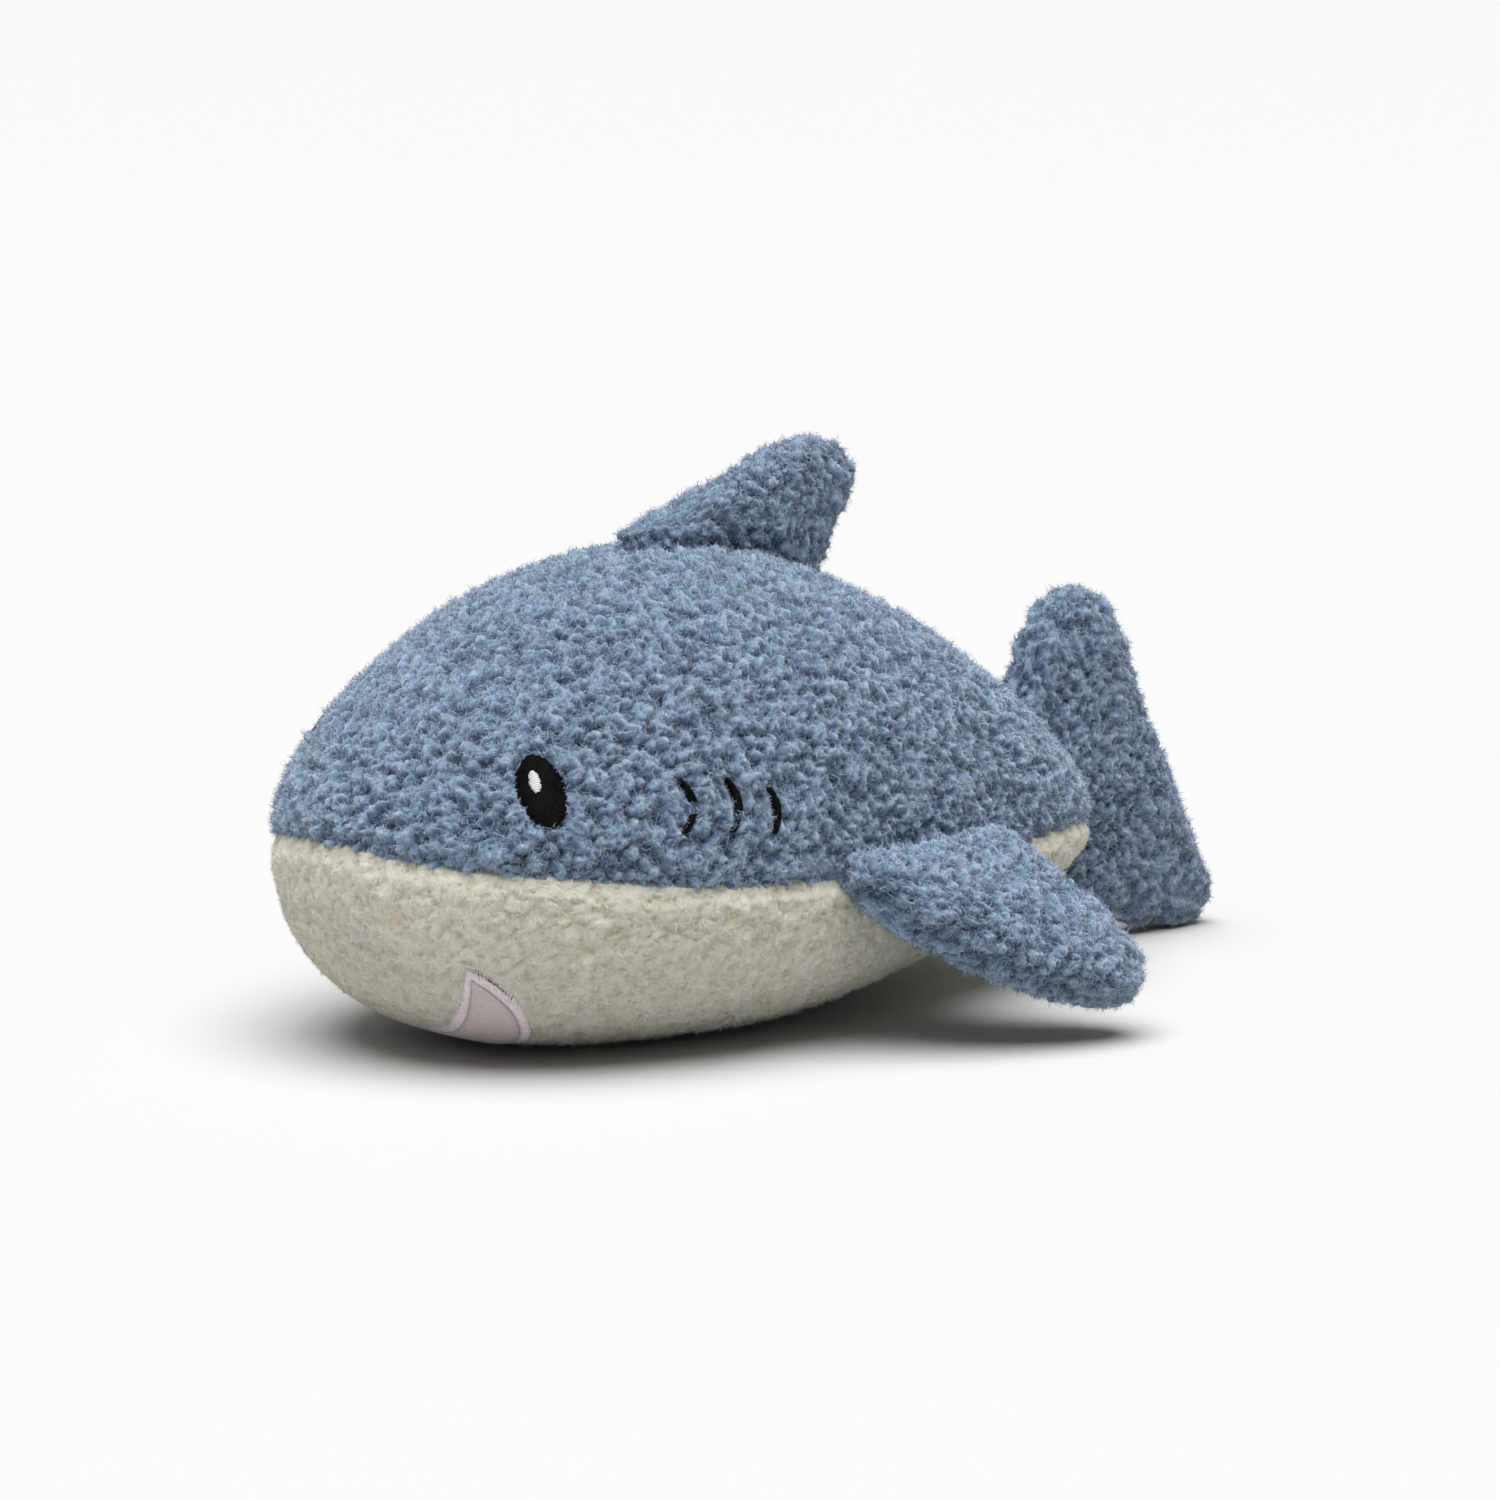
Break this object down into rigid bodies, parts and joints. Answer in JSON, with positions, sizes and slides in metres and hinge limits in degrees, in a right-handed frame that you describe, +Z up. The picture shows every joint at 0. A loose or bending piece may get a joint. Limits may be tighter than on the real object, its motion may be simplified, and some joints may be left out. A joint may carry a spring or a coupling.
{
  "type": "plush shark",
  "caption": "Stuffed boucle toy shark with sewn-in dorsal, pectoral and tail fins, stitched eyes and gills and a felt mouth.",
  "frame": {"origin": "on the surface the shark rests on, below the middle of its overall length and width", "axes": "+X from the nose to the tail, +Y to the shark's right side, +Z up; the shark is mirror-symmetric about y = 0"},
  "size_m": [0.2386, 0.164, 0.1134],
  "materials": {
    "blue_boucle": "curly boucle pile, matt",
    "cream_boucle": "curly boucle pile, matt",
    "polyester_fill": "loose polyester fibre",
    "black_thread": "satin-stitched rayon thread, soft gloss",
    "white_thread": "satin-stitched rayon thread, soft gloss",
    "pink_felt": "short-napped felt, matt",
    "lilac_thread": "satin-stitched rayon thread, soft gloss"
  },
  "bodies": {
    "body": {"upper_panel_left": "blue_boucle", "upper_panel_right": "blue_boucle", "belly_panel": "cream_boucle", "body_fill": "polyester_fill", "eye_left": "black_thread", "eye_right": "black_thread", "eye_light_left": "white_thread", "eye_light_right": "white_thread", "gill_1_left": "black_thread", "gill_1_right": "black_thread", "gill_2_left": "black_thread", "gill_2_right": "black_thread", "gill_3_left": "black_thread", "gill_3_right": "black_thread", "mouth_border": "lilac_thread", "mouth_felt": "pink_felt"},
    "dorsal_fin": {"dorsal_panel_left": "blue_boucle", "dorsal_panel_right": "blue_boucle", "dorsal_fill": "polyester_fill"},
    "tail_fin": {"tail_panel_left": "blue_boucle", "tail_panel_right": "blue_boucle", "tail_fill": "polyester_fill"},
    "pectoral_left": {"pectoral_left_top": "blue_boucle", "pectoral_left_bottom": "blue_boucle", "pectoral_left_fill": "polyester_fill"},
    "pectoral_right": {"pectoral_right_top": "blue_boucle", "pectoral_right_bottom": "blue_boucle", "pectoral_right_fill": "polyester_fill"}
  },
  "joints": [
    {"name": "dorsal_fold", "type": "hinge", "parent": "body", "child": "dorsal_fin", "pos_m": [-0.0195, 0, 0.0975], "axis": [0.995, 0, -0.0995], "range_deg": [-45, 45], "stiffness_Nm_per_rad": 0.02},
    {"name": "tail_wag", "type": "hinge", "parent": "body", "child": "tail_fin", "pos_m": [0.0715, 0, 0.03], "axis": [0, 0, 1], "range_deg": [-30, 30], "stiffness_Nm_per_rad": 0.03},
    {"name": "pectoral_left_flap", "type": "hinge", "parent": "body", "child": "pectoral_left", "pos_m": [-0.036, -0.058, 0.035], "axis": [-0.9873, -0.159, 0], "range_deg": [0, 55], "stiffness_Nm_per_rad": 0.03},
    {"name": "pectoral_right_flap", "type": "hinge", "parent": "body", "child": "pectoral_right", "pos_m": [-0.036, 0.058, 0.035], "axis": [0.9873, -0.159, 0], "range_deg": [0, 55], "stiffness_Nm_per_rad": 0.03}
  ]
}
